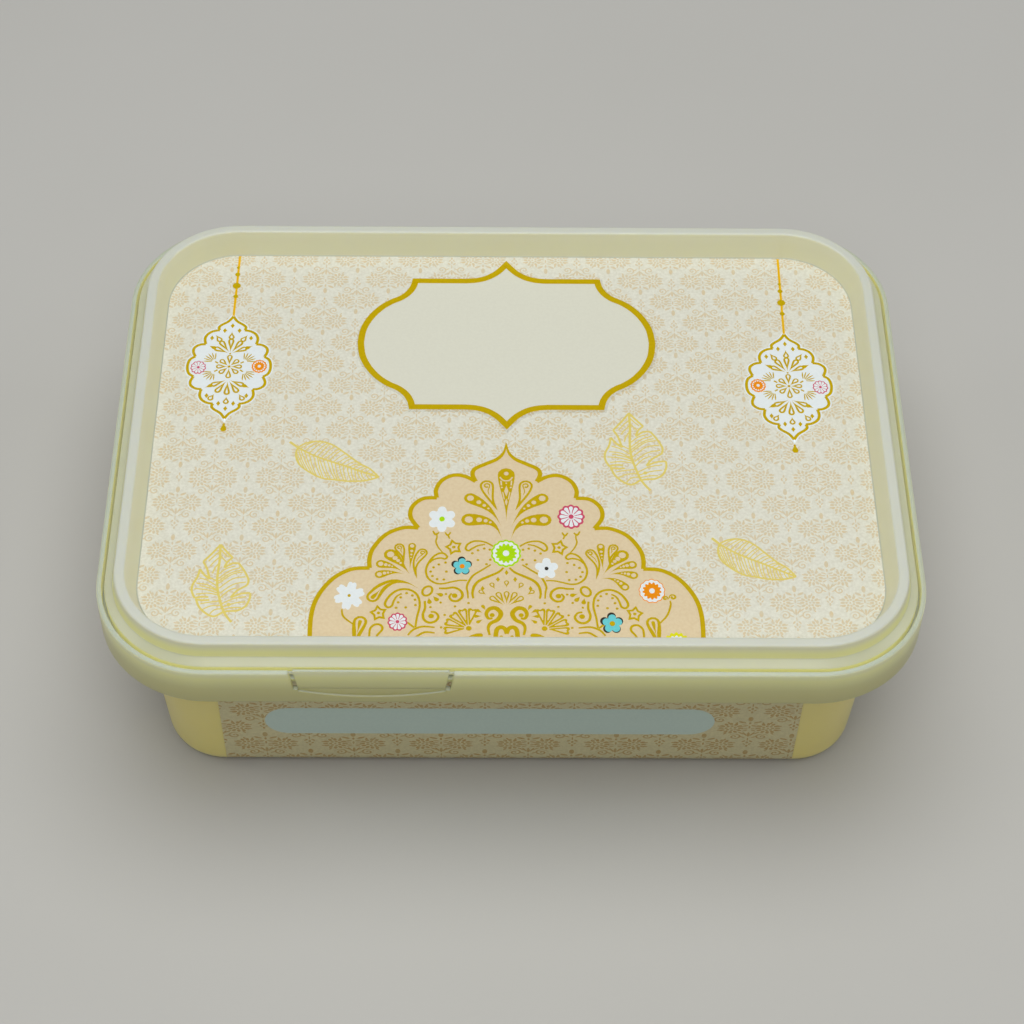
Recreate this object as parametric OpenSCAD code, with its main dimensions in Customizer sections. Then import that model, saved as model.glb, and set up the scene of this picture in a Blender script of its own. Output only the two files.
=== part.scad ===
// Rectangular sweet box with a snap-in lid, a tamper-evident guard rim and printed films.
// Origin: centre of the base, on the table. X runs along the long side, -Y is the front.
// Profiles are lists of [inset, height, corner radius], inset measured in from the guard's face.

/* [Overall] */
// Length over the guard rim
box_l = 172.8; // [160:0.1:190]
// Width over the guard rim
box_w = 128.1; // [118:0.1:140]
// Plan radius of the guard rim's corners
corner_r = 24; // [22:0.1:27]
// Height of the guard rim's top above the table
rim_z = 50; // [42:0.1:60]

/* [Tub] */
// Thickness of the tub's moulded wall
tub_t = 0.7; // [0.6:0.05:0.9]
// Draft of the side walls in degrees
draft = 4; // [3:0.25:5]
// Inset of the side wall at the level of the skirt's lower edge
wall_in = 8.4; // [8:0.1:9]
// Radius between side wall and base
base_r = 4.5; // [3.5:0.1:5]
// Width of the foot ring's flat
foot_w = 3.2; // [2.5:0.1:3.5]
// How far the base is raised inside the foot ring
base_up = 1; // [0.6:0.1:1.2]
// Rise from the skirt's lower edge to the foot of the stacking shoulder
shoulder_up = 2.5; // [2:0.1:3]
// Height of the sloped stacking shoulder
shoulder_h = 2.1; // [1.8:0.1:2.4]
// Radius of the moulding gate's nub
gate_r = 1.2; // [0.8:0.1:1.5]
// Height of the moulding gate's nub
gate_h = 0.35; // [0.2:0.05:0.5]

/* [Guard rim] */
// Thickness of the guard rim and its skirt
guard_t = 1.1; // [1:0.05:1.3]
// Height of the guard rim with its skirt
skirt_h = 10; // [9:0.1:11]
// Depth of the channel behind the guard rim
channel_h = 3.2; // [3:0.1:3.6]
// Thickness of the channel's floor
channel_t = 0.8; // [0.7:0.05:1]
// Rounding of the guard rim's outer edges
guard_edge = 0.4; // [0.2:0.05:0.5]

/* [Lid] */
// Thickness of the lid
lid_t = 0.6; // [0.5:0.05:0.65]
// Gap between the guard rim and the lid's edge
edge_gap = 0.6; // [0.4:0.05:0.8]
// Depth of the lid's outer lip below the guard rim's top
lip_h = 2.4; // [2:0.1:2.6]
// Width of the sloped ledge
ledge_w = 1.8; // [1.6:0.05:2]
// Rise of the sloped ledge
ledge_h = 1.25; // [1:0.05:1.5]
// Height of the bead's top above the guard rim's top
bead_h = 4.6; // [4.2:0.05:5]
// Inset between the ledge and the bead's top
step_in = 0.64; // [0.5:0.02:0.8]
// Width of the bead's flat top
bead_w = 2.16; // [2:0.02:2.5]
// Inset between the bead's top and the panel
inner_in = 1.9; // [1.7:0.05:2.2]
// Depth of the panel below the bead's top
recess_h = 5.8; // [5.4:0.1:6.4]
// Rounding of the bead's edges
bead_edge = 0.5; // [0.3:0.05:0.6]
// Clearance each side between the tub's sealing lip and the bead
seal_gap = 0.3; // [0.25:0.01:0.35]

/* [Films] */
// Thickness of the printed films, which lie flush in the mouldings
film_t = 0.12; // [0.08:0.01:0.15]
// Margin between the panel's edge and the lid film
film_margin = 0.25; // [0.2:0.05:0.5]
// Height of the tub film's upper edge
film_top = 38; // [30:0.5:39]
// How far each flap of the tub film stays inside the straight of its side
flap_in = 0.4; // [0.2:0.05:1]
// Radius of the film's hole round the moulding gate
gate_hole_r = 4; // [3:0.1:6]

/* [Tear tab] */
// Distance of the tab's middle from the box's middle, along X
tab_x = -28.6; // [-36:0.1:36]
// Width between the middles of the end slots, at the top
tab_w = 32.8; // [24:0.1:38]
// Height of the tab's foot above the skirt's lower edge
tab_foot = 4.5; // [4.2:0.1:5]
// How far the end slots lean in from top to foot
tab_slant = 0.85; // [0:0.05:1.5]
// Width of the end slots
slot_w = 1; // [0.6:0.05:1.4]
// How far the tab stands above the guard rim
tab_rise = 0.3; // [0:0.05:0.5]
// How far the tab's face is set back from the skirt's face
tab_back = 0.45; // [0.3:0.05:0.5]
// Clearance between the tab and the channel behind it
tab_gap = 0.1; // [0.05:0.01:0.15]
// Depth of the bowed recess below the tab's foot, at its middle
bow_depth = 2.4; // [1.5:0.1:3]
// Depth of the bowed recess below the tab's foot, at its ends
bow_end = 0.5; // [0.2:0.1:1]
// Height of the break-away bridges
bridge_h = 0.6; // [0.4:0.05:0.8]
// Thickness of the break-away bridges
bridge_t = 0.35; // [0.2:0.05:0.4]
// Clearance between a bridge's end and the guard rim
bridge_gap = 0.03; // [0.01:0.01:0.1]

/* [Colours] */
// Colour of the moulded plastic
shell_color = "Ivory"; // [Ivory, OldLace, Beige]
// Colour of the printed films
film_color = "Bisque"; // [Bisque, Linen, PeachPuff]

/* [Hidden] */
// Reach of cutting shapes past the surfaces that they cut
past = 1;
// Lap of a middle plate over the level inner parts of the sides
lap = 1;
// Segments of a full turn in the preview
turn_fn = 128;
// Segments of one rounded profile edge
edge_fn = 4;

// Straight lengths between the corners
straight_l = box_l - 2 * corner_r;
straight_w = box_w - 2 * corner_r;

// Heights
skirt_z = rim_z - skirt_h;
floor_z = rim_z - channel_h;
floor_under_z = floor_z - channel_t;
shoulder_z = skirt_z + shoulder_up;
top_z = rim_z + bead_h;
panel_z = top_z - recess_h;
foot_z = skirt_z + tab_foot;

// Inset of the drafted side wall's outer face at a height
function wall_u(z) = wall_in + (skirt_z - z) * tan(draft);

// Left normal of the line from a to b
function side_normal(a, b) = let (d = b - a) [-d[1], d[0]] / norm(d);

// Corner b of a line a-b-c moved aside by k, so that both its sides move by k
function mitre(a, b, c, k) =
    let (n0 = side_normal(a, b), n1 = side_normal(b, c))
    b + (n0 + n1) * k / (1 + n0 * n1);

// A whole line moved aside by k
function beside(p, k) = let (e = len(p) - 1) [
    for (i = [0 : e])
        i == 0 ? p[0] + side_normal(p[0], p[1]) * k
        : i == e ? p[e] + side_normal(p[e - 1], p[e]) * k
        : mitre(p[i - 1], p[i], p[i + 1], k)
];

// Points of the arc that rounds corner b of a line a-b-c with radius r
function arc_at(a, b, c, r, n) =
    let (
        d0 = (a - b) / norm(a - b),
        d1 = (c - b) / norm(c - b),
        between = acos(d0 * d1),
        mid = b + (d0 + d1) / norm(d0 + d1) * r / sin(between / 2),
        start = b + d0 * r / tan(between / 2) - mid,
        turn = cross(d0, d1) > 0 ? between - 180 : 180 - between
    )
    [for (i = [0 : n]) let (t = turn * i / n)
        mid + [start[0] * cos(t) - start[1] * sin(t), start[0] * sin(t) + start[1] * cos(t)]];

// Plan points of a profile, without its radii
function plain(p) = [for (q = p) [q[0], q[1]]];

// A profile with its corners rounded
function rounded(p, n = edge_fn) = let (q = plain(p), e = len(p) - 1) [
    for (i = [0 : e])
        each (i == 0 || i == e || p[i][2] == 0 ? [q[i]] : arc_at(q[i - 1], q[i], q[i + 1], p[i][2], n))
];

// A line in the other direction
function reversed(p) = [for (i = [len(p) - 1 : -1 : 0]) p[i]];

// Lid: its upper face from the lip's foot to the middle, and its lower face beside it
lid_u = guard_t + edge_gap;
ledge_u = lid_u + ledge_w;
bead_u = ledge_u + step_in;
bead_in_u = bead_u + bead_w;
panel_u = bead_in_u + inner_in;
lid_line = [
    [lid_u, rim_z - lip_h, 0],
    [lid_u, rim_z, bead_edge / 2],
    [ledge_u, rim_z + ledge_h, bead_edge / 2],
    [bead_u, top_z, bead_edge],
    [bead_in_u, top_z, bead_edge],
    [panel_u, panel_z, film_margin],
    [corner_r, panel_z, 0]
];
lid_under = beside(plain(lid_line), -lid_t);

// Sealing lip of the tub: it stands in the bead's hollow and carries the bead's roof
lip_u = lid_under[3][0] + seal_gap;
lip_in_u = lid_under[4][0] - seal_gap;
lip_z = lid_under[3][1];

// Tub: its outer face from the channel's underside down and in to the middle of the base
foot_in_u = wall_u(0) + base_r + foot_w;
wall_line = rounded([
    [lip_u, floor_under_z, 0],
    [lip_u, shoulder_z + shoulder_h, 0],
    [wall_u(shoulder_z), shoulder_z, 0],
    [wall_u(0), 0, base_r],
    [foot_in_u, 0, 0],
    [foot_in_u + base_up, base_up, 0],
    [corner_r, base_up, 0]
], 2 * edge_fn);

// Part of that face that carries the film
film_line = rounded([
    [wall_u(film_top), film_top, 0],
    [wall_u(0), 0, base_r],
    [foot_in_u, 0, 0],
    [foot_in_u + base_up, base_up, 0],
    [corner_r, base_up, 0]
], 2 * edge_fn);

// Guard rim with its skirt, from its root on the channel's underside round to the channel's floor
guard_line = rounded([
    [guard_t, floor_under_z, 0],
    [guard_t, skirt_z, guard_edge],
    [0, skirt_z, guard_edge],
    [0, rim_z, guard_edge],
    [guard_t, rim_z, guard_edge / 2],
    [guard_t, floor_z, 0]
]);

// Tear tab: half widths of its window and of the tab itself, at the top and at the foot
window_half = (tab_w + slot_w) / 2;
tab_half = (tab_w - slot_w) / 2;
tab_top_z = rim_z + tab_rise;
tab_t = guard_t - tab_back - tab_gap;
bow_half = tab_half - tab_slant;
bow_sag = bow_depth - bow_end;
bow_r = (bow_half * bow_half + bow_sag * bow_sag) / (2 * bow_sag);

// A profile carried once round the rounded rectangle
module carried_round(p) {
    for (corner = [[1, 1, 0], [-1, 1, 90], [-1, -1, 180], [1, -1, 270]])
        translate([corner[0] * straight_l / 2, corner[1] * straight_w / 2, 0])
            rotate([0, 0, corner[2]])
                rotate_extrude(angle = 90, $fn = turn_fn)
                    polygon([for (q = p) [corner_r - q[0], q[1]]]);
    along_sides(p, 0);
}

// A profile along the four straight sides only, each shortened at both ends
module along_sides(p, shorter) {
    for (turn = [0, 180])
        rotate([0, 0, turn])
            one_side(p, straight_l - 2 * shorter, box_w / 2);
    for (turn = [90, 270])
        rotate([0, 0, turn])
            one_side(p, straight_w - 2 * shorter, box_l / 2);
}

// A profile along one straight side
module one_side(p, length, out) {
    translate([-length / 2, -out, 0])
        rotate([90, 0, 90])
            linear_extrude(length)
                polygon(p);
}

// A plate between the straight sides, which it laps
module middle_plate(z, thick) {
    translate([-straight_l / 2 - lap, -straight_w / 2 - lap, z])
        cube([straight_l + 2 * lap, straight_w + 2 * lap, thick]);
}

// Plan outline at an inset
module outline(inset) {
    r = corner_r - inset;
    square([straight_l, straight_w + 2 * r], center = true);
    square([straight_l + 2 * r, straight_w], center = true);
    for (x = [-1, 1])
        for (y = [-1, 1])
            translate([x * straight_l / 2, y * straight_w / 2])
                circle(r, $fn = turn_fn);
}

// A shape drawn in X and Z, given depth from one inset to a deeper one at the front side
module at_front(inset, depth) {
    translate([0, inset + depth - box_w / 2, 0])
        rotate([90, 0, 0])
            linear_extrude(depth)
                children();
}

// Outline of the tab or of its window, drawn in X and Z
module tab_outline(half, low, high) {
    lean = tab_slant / (tab_top_z - foot_z);
    polygon([
        [tab_x - half + lean * (tab_top_z - low), low],
        [tab_x + half - lean * (tab_top_z - low), low],
        [tab_x + half - lean * (tab_top_z - high), high],
        [tab_x - half + lean * (tab_top_z - high), high]
    ]);
}

// Bowed field below the tab's foot, drawn in X and Z
module bowed_field() {
    intersection() {
        translate([tab_x, foot_z - bow_depth + bow_r])
            circle(bow_r, $fn = turn_fn * edge_fn);
        translate([tab_x - bow_half, foot_z - bow_depth])
            square([2 * bow_half, bow_depth]);
    }
}

// Flaps and base of the tub film, between two lines beside the wall
module film_wrap(outside, inside) {
    along_sides(concat(beside(film_line, outside), reversed(beside(film_line, inside))), flap_in);
    middle_plate(base_up + outside, inside - outside);
}

// Drafted tub with foot ring, stacking shoulder, channel, sealing lip, guard rim and skirt
module tub() {
    color(shell_color) {
        difference() {
            union() {
                carried_round(concat(
                    guard_line,
                    [[lip_u, floor_z], [lip_u, lip_z], [lip_in_u, lip_z]],
                    beside(wall_line, tub_t),
                    reversed(wall_line)
                ));
                middle_plate(base_up, tub_t);
            }
            film_wrap(-past, film_t);
            at_front(-past, past + guard_t)
                tab_outline(window_half, foot_z, tab_top_z + past);
            at_front(-past, past + tab_back)
                bowed_field();
        }
        translate([0, 0, base_up + film_t - gate_h])
            cylinder(r = gate_r, h = gate_h, $fn = turn_fn);
    }
}

// Lid with its lip, sloped ledge, hollow bead, plug wall and recessed panel
module lid() {
    color(shell_color) {
        difference() {
            union() {
                carried_round(concat(rounded(lid_line), reversed(lid_under)));
                middle_plate(panel_z - lid_t, lid_t);
            }
            translate([0, 0, panel_z - film_t])
                linear_extrude(past)
                    outline(panel_u + film_margin);
        }
        translate([0, 0, panel_z - lid_t - gate_h])
            cylinder(r = gate_r, h = gate_h, $fn = turn_fn);
    }
}

// Printed film on the lid's panel
module lid_film() {
    color(film_color)
        translate([0, 0, panel_z - film_t])
            linear_extrude(film_t)
                outline(panel_u + film_margin);
}

// Cross-shaped printed film on the walls and the base, with bare corners
module tub_film() {
    color(film_color)
        difference() {
            film_wrap(0, film_t);
            translate([0, 0, base_up - past])
                cylinder(r = gate_hole_r, h = 2 * past, $fn = turn_fn);
        }
}

// Tear tab in the guard rim, with its two break-away bridges
module tear_tab() {
    color(shell_color) {
        at_front(tab_back, tab_t)
            tab_outline(tab_half, foot_z, tab_top_z);
        at_front(tab_back, bridge_t)
            tab_outline(window_half - bridge_gap, rim_z - bridge_h, rim_z);
    }
}

tub();
lid();
lid_film();
tub_film();
tear_tab();
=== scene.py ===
# %% [markdown]
# # A printed sweet box
# This lesson dresses a moulded plastic sweet box: a tub with a guard rim, a lid pressed
# into it, and printed films on the lid and the walls. The solids come from the packed
# model and are never moved. Everything here is material, print, light and camera.

import math

import bpy
from mathutils import Matrix, Vector
from mathutils.geometry import tessellate_polygon


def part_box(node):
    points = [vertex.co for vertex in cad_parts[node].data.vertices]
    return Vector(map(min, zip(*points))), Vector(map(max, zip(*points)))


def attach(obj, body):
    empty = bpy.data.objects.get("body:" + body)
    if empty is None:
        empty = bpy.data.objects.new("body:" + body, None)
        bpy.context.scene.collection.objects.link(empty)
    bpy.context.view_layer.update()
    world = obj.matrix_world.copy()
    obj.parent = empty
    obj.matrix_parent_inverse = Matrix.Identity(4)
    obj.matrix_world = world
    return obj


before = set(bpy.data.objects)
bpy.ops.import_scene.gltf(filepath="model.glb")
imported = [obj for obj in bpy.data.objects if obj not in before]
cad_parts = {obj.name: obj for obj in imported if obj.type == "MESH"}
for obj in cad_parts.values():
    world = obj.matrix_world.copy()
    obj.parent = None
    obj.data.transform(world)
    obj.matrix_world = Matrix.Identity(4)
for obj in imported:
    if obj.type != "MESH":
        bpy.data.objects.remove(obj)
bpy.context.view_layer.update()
MM = 0.001

# %% [markdown]
# ## The camera
# A product shot like this one is taken from in front and well above with a long lens. The
# straight edges of the lid meet far away, which gives the lens and the tilt: 51 degrees
# down, turned one degree, with about an 88 mm lens on a 36 mm sensor.

# %% Place the camera
TILT, TURN, ROLL = (math.radians(a) for a in (51.0, 1.0, -1.02))
DISTANCE, ASIDE, ABOVE, AIM_Z = 546.7 * MM, 0.465 * MM, -16.785 * MM, 50.0 * MM

right = Vector((math.cos(TURN), -math.sin(TURN), 0))
back = Vector((-math.sin(TURN) * math.cos(TILT), -math.cos(TURN) * math.cos(TILT), math.sin(TILT)))
up = back.cross(right)
eye = right * ASIDE + up * ABOVE + back * DISTANCE + Vector((0, 0, AIM_Z))
cam_x = right * math.cos(ROLL) - up * math.sin(ROLL)
cam_y = right * math.sin(ROLL) + up * math.cos(ROLL)

lens = bpy.data.cameras.new("camera")
lens.sensor_width = 36
lens.lens = 88.02
lens.clip_start, lens.clip_end = 0.05, 20
camera = bpy.data.objects.new("camera", lens)
bpy.context.scene.collection.objects.link(camera)
camera.matrix_world = Matrix((
    (cam_x.x, cam_y.x, back.x, eye.x),
    (cam_x.y, cam_y.y, back.y, eye.y),
    (cam_x.z, cam_y.z, back.z, eye.z),
    (0, 0, 0, 1),
))
bpy.context.scene.camera = camera
bpy.context.scene.view_settings.view_transform = "Standard"
print("camera at, mm:", [round(v / MM, 1) for v in eye])

# %% [markdown]
# ## Nodes in a few words
# Materials are built from nodes. Two small helpers keep the lesson short: one puts a node
# into a tree and wires or sets its inputs, one starts a material with its shader.


# %% Node helpers
def put(tree, kind, ins=(), **props):
    """A new node. ins are its inputs, as a list or by name: a socket is wired, a value is set."""
    made = tree.nodes.new(kind)
    for name, value in props.items():
        setattr(made, name, value)
    for key, value in (ins.items() if isinstance(ins, dict) else enumerate(ins)):
        if isinstance(value, bpy.types.NodeSocket):
            tree.links.new(value, made.inputs[key])
        elif value is not None:
            made.inputs[key].default_value = value
    return made


def maths(tree, what, *ins):
    return put(tree, "ShaderNodeMath", ins, operation=what).outputs[0]


def blend_colours(tree, how_much, first, second, kind="MIX"):
    made = put(tree, "ShaderNodeMix", data_type="RGBA", blend_type=kind)
    for socket, value in ((made.inputs[0], how_much), (made.inputs[6], first), (made.inputs[7], second)):
        if isinstance(value, bpy.types.NodeSocket):
            tree.links.new(value, socket)
        else:
            socket.default_value = value
    return made.outputs[2]


def paint(red, green, blue):
    """A colour picked on a screen, 0 to 255, as the shader wants it."""
    def linear(v):
        v /= 255
        return v / 12.92 if v <= 0.04045 else ((v + 0.055) / 1.055) ** 2.4
    return (linear(red), linear(green), linear(blue), 1)


def new_material(name, **settings):
    """A material, its node tree and its Principled shader with plain settings in place."""
    material = bpy.data.materials.new(name)
    material.use_nodes = True
    shader = material.node_tree.nodes["Principled BSDF"]
    for key, value in settings.items():
        shader.inputs[key.replace("_", " ")].default_value = value
    return material, material.node_tree, shader


def new_group(name, ins, outs):
    """A node group with its input and output sockets: (tree, input node, output node)."""
    tree = bpy.data.node_groups.new(name, "ShaderNodeTree")
    for label, kind, value in ins:
        socket = tree.interface.new_socket(name=label, in_out="INPUT", socket_type=kind)
        if value is not None:
            socket.default_value = value
    for label, kind in outs:
        tree.interface.new_socket(name=label, in_out="OUTPUT", socket_type=kind)
    return tree, tree.nodes.new("NodeGroupInput"), tree.nodes.new("NodeGroupOutput")


def use_group(tree, group, ins):
    return put(tree, "ShaderNodeGroup", ins, node_tree=group)


# %% [markdown]
# ## What moulded plastic looks like
# Polypropylene from a polished mould isn't flat in colour or gloss. Its flow leaves soft
# clouds, its skin a fine unevenness that breaks up reflections, and handling a few dull
# patches. One group makes all three, so each moulding can have its own amounts.

# %% Group: moulded skin
moulded_skin, skin_in, skin_out = new_group(
    "Moulded skin",
    [("Clouds", "NodeSocketFloat", 1.0), ("Grain", "NodeSocketFloat", 1.0)],
    [("Cloud", "NodeSocketFloat"), ("Roughness", "NodeSocketFloat"), ("Height", "NodeSocketFloat")],
)
where = put(moulded_skin, "ShaderNodeTexCoord").outputs["Object"]
flow = put(moulded_skin, "ShaderNodeMapping", {"Vector": where, "Scale": (40, 40, 75)}).outputs[0]
cloud = put(moulded_skin, "ShaderNodeTexNoise", {"Vector": flow, "Scale": 1.0, "Detail": 3.0, "Roughness": 0.55})
dull = put(moulded_skin, "ShaderNodeTexNoise", {"Vector": where, "Scale": 210.0, "Detail": 4.0})
fine = put(moulded_skin, "ShaderNodeTexNoise", {"Vector": where, "Scale": 1500.0, "Detail": 2.0})
cloud_out = maths(moulded_skin, "MULTIPLY", cloud.outputs["Fac"], skin_in.outputs["Clouds"])
rough_low = maths(moulded_skin, "MULTIPLY_ADD", dull.outputs["Fac"], 0.16, 0.24)
rough_out = maths(moulded_skin, "MULTIPLY_ADD", fine.outputs["Fac"], 0.05, rough_low)
height_out = maths(moulded_skin, "MULTIPLY", fine.outputs["Fac"], skin_in.outputs["Grain"])
for socket, value in zip(skin_out.inputs, (cloud_out, rough_out, height_out)):
    moulded_skin.links.new(value, socket)
print("group made:", moulded_skin.name, "with", len(moulded_skin.nodes), "nodes")


# %% Moulded plastic materials
def moulding(name, pale, low, start, stop, wall_shades, gap_light_tint, gap_side, painted_glow=None):
    """Milky plastic with painted light and shade in its colour: pale, a painted sheen, on top, and low,
    a painted shade, from height start down to stop.

    Upright faces take the painted shade of their height from wall_shades, a list of heights and tints,
    or the painted light gap_light_tint where they look at the gap between lid and guard (gap_side -1
    inward, 1 outward). Light would come through the thin guard rim into that gap; it is painted, and
    these faces glow a little by emission. painted_glow gives the two heights between which they do,
    the share above these, and that of the floor.
    """
    material, tree, shader = new_material(
        name, Subsurface_Weight=0.35, Subsurface_Radius=(1.0, 0.9, 0.5), Subsurface_Scale=0.0012, IOR=1.49,
        Coat_Weight=0.15, Coat_Roughness=0.18, Emission_Strength=1.0 if painted_glow else 0.0,
    )
    skin = use_group(tree, moulded_skin, {"Clouds": 0.25, "Grain": 1.0})
    coords = put(tree, "ShaderNodeTexCoord").outputs
    level = put(tree, "ShaderNodeSeparateXYZ", [coords["Object"]]).outputs["Z"]
    # Painted shade: the colour goes from pale, a painted sheen, to low from height start down to stop.
    down = put(tree, "ShaderNodeMapRange", {"Value": level, 1: start, 2: stop, 3: 0.0, 4: 0.85}).outputs[0]
    lying = maths(tree, "ABSOLUTE", put(tree, "ShaderNodeSeparateXYZ", [coords["Normal"]]).outputs["Z"])
    # Painted shade: upright faces take darker, yellower tints than the tops.
    upright = put(tree, "ShaderNodeMapRange", {"Value": lying, 1: 0.95, 2: 0.3, 3: 0.0, 4: 0.7}).outputs[0]
    flat = put(tree, "ShaderNodeVectorMath", [coords["Normal"], (1, 1, 0)], operation="MULTIPLY").outputs[0]
    facing = put(tree, "ShaderNodeVectorMath", [coords["Object"], flat], operation="DOT_PRODUCT").outputs["Value"]
    faces_gap = maths(tree, "GREATER_THAN", maths(tree, "MULTIPLY", facing, gap_side), 0.01)
    # Painted light and shade on upright faces, one tint for each height.
    wall_shade_ramp = put(tree, "ShaderNodeValToRGB", [maths(tree, "DIVIDE", level, RAMP_TOP)])
    stops = wall_shade_ramp.color_ramp.elements
    for n, (height, tint) in ((0, wall_shades[0]), (1, wall_shades[-1])):
        stops[n].position, stops[n].color = height / RAMP_TOP, tint
    for height, tint in wall_shades[1:-1]:
        stops.new(height / RAMP_TOP).color = tint
    # Painted light: faces that look into the gap below the bead take the bright gap light tint.
    below_bead = put(tree, "ShaderNodeMapRange", {"Value": level, 1: 0.0540, 2: 0.0524}).outputs[0]
    gap_light_mask = maths(tree, "MULTIPLY", faces_gap, below_bead)
    wall = blend_colours(tree, gap_light_mask, wall_shade_ramp.outputs["Color"], gap_light_tint)
    # Painted sheen on top and painted shade lower down, broken up by the moulding's clouds.
    colour = blend_colours(tree, maths(tree, "ADD", down, skin.outputs["Cloud"]), pale, low)
    tree.links.new(blend_colours(tree, upright, colour, wall), shader.inputs["Base Color"])
    tree.links.new(skin.outputs["Roughness"], shader.inputs["Roughness"])
    edges = put(tree, "ShaderNodeBevel", {"Radius": 0.0005}, samples=4).outputs[0]
    bump = put(tree, "ShaderNodeBump", {
        "Strength": 0.05, "Distance": 0.0001, "Height": skin.outputs["Height"], "Normal": edges})
    tree.links.new(bump.outputs[0], shader.inputs["Normal"])
    # Painted light: an emission makes the faces in the gap, and lying faces by their share, glow as if lit through the
    # guard rim.
    if painted_glow:
        bottom, top, share_above, share_floor = painted_glow
        over = maths(tree, "GREATER_THAN", level, bottom)
        fade = put(tree, "ShaderNodeMapRange", {"Value": level, 1: top, 2: top + 0.0002, 3: 1.0, 4: share_above}).outputs[0]
        floor = maths(tree, "MULTIPLY", lying, share_floor)
        sees_light = maths(tree, "MAXIMUM", maths(tree, "MULTIPLY", gap_light_mask, upright), floor)
        shine = maths(tree, "MULTIPLY", sees_light, maths(tree, "MULTIPLY", over, fade))
        tree.links.new(blend_colours(tree, shine, (0, 0, 0, 1), paint(97, 96, 82)), shader.inputs["Emission Color"])
    return material


RAMP_TOP = 0.06
# Painted light and shade on the tub's upright faces by height: the walls under the skirt lighter and warmer, the skirt
# dark at its lower edge and lighter towards the rim.
TUB_WALL_SHADES = [
    (0.0385, paint(253, 235, 142)), (0.0400, paint(182, 180, 121)), (0.0425, paint(198, 192, 117)),
    (0.0446, paint(211, 206, 127)), (0.0481, paint(252, 250, 165)), (0.0496, paint(255, 255, 205)),
]
# The tub and its tab: a bluish white painted sheen on the rim top, painted shade lower down, and a bright painted light
# tint where faces look into the gap.
TUB_LOOK = (paint(184, 195, 184), paint(214, 202, 132), 0.046, 0.036, TUB_WALL_SHADES, paint(240, 233, 156), -1)
# Only the tub glows with painted light, in the gap and on the channel floor.
tub_plastic = moulding("Tub plastic", *TUB_LOOK, painted_glow=(0.0465, 0.0497, 0.0, 0.6))
tab_plastic = moulding("Tab plastic", *TUB_LOOK)
# The lid: a bluish painted sheen on the bead top, painted shade below it, an even yellow painted shade on upright
# faces, and painted light with a glow on its side in the gap.
LID_WALL_SHADES = [(0.0, paint(248, 245, 204)), (RAMP_TOP, paint(248, 245, 204))]
lid_plastic = moulding(
    "Lid plastic", paint(210, 213, 202), paint(199, 202, 182), 0.0545, 0.052, LID_WALL_SHADES, paint(255, 252, 152), 1,
    painted_glow=(0.0465, 0.0508, 0.65, 0.0))

# %% [markdown]
# ## The damask ground
# The films carry a small woven-silk pattern, the same palmette over and over in a half-drop
# repeat. A picture would do it, but a pattern from formulas stays sharp at any size. Each
# leaf is an ellipse, each curl a spiral and each blossom two rings of petals, drawn once for
# one side and mirrored. The repeat is 14.5 mm wide and 13.1 mm high.


# %% Group: one palmette
def leaf_mark(tree, spot, x, y, across, along, lean=0.0, line=None):
    """An ellipse, filled, or as a line of that share of its radius."""
    local = put(tree, "ShaderNodeMapping", {
        "Vector": spot, "Location": (x, y, 0), "Rotation": (0, 0, math.radians(lean)), "Scale": (across, along, 1),
    }, vector_type="TEXTURE").outputs[0]
    far = put(tree, "ShaderNodeVectorMath", [local], operation="LENGTH").outputs["Value"]
    return maths(tree, "LESS_THAN", far, 1.0) if line is None else maths(tree, "COMPARE", far, 1.0, line)


def curl_mark(tree, spot, x, y, radius, pitch, line, start=0.0):
    """A spiral line round (x, y)."""
    local = put(tree, "ShaderNodeMapping", {
        "Vector": spot, "Location": (x, y, 0), "Rotation": (0, 0, math.radians(start)),
    }, vector_type="TEXTURE").outputs[0]
    parts = put(tree, "ShaderNodeSeparateXYZ", [local]).outputs
    far = put(tree, "ShaderNodeVectorMath", [local], operation="LENGTH").outputs["Value"]
    turn = maths(tree, "MULTIPLY", maths(tree, "ARCTAN2", parts["Y"], parts["X"]), 0.5 / math.pi)
    step = maths(tree, "FRACT", maths(tree, "MULTIPLY_ADD", far, 1 / pitch, turn))
    return maths(tree, "MULTIPLY", maths(tree, "COMPARE", step, 0.5, line / pitch), maths(tree, "LESS_THAN", far, radius))


def petals_mark(tree, spot, x, y, reach, half_long, half_wide, count):
    """A ring of petals round (x, y): each an ellipse that points outward, its middle at reach."""
    local = put(tree, "ShaderNodeMapping", {"Vector": spot, "Location": (x, y, 0)}, vector_type="TEXTURE").outputs[0]
    parts = put(tree, "ShaderNodeSeparateXYZ", [local]).outputs
    far = put(tree, "ShaderNodeVectorMath", [local], operation="LENGTH").outputs["Value"]
    angle = maths(tree, "ARCTAN2", parts["Y"], parts["X"])
    apart = maths(tree, "WRAP", angle, math.pi / count, -math.pi / count)
    outward = maths(tree, "DIVIDE", maths(tree, "SUBTRACT", far, reach), half_long)
    sideways = maths(tree, "DIVIDE", maths(tree, "MULTIPLY", apart, far), half_wide)
    offset = put(tree, "ShaderNodeCombineXYZ", [outward, sideways]).outputs[0]
    size = put(tree, "ShaderNodeVectorMath", [offset], operation="LENGTH").outputs["Value"]
    return maths(tree, "LESS_THAN", size, 1.0)


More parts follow.
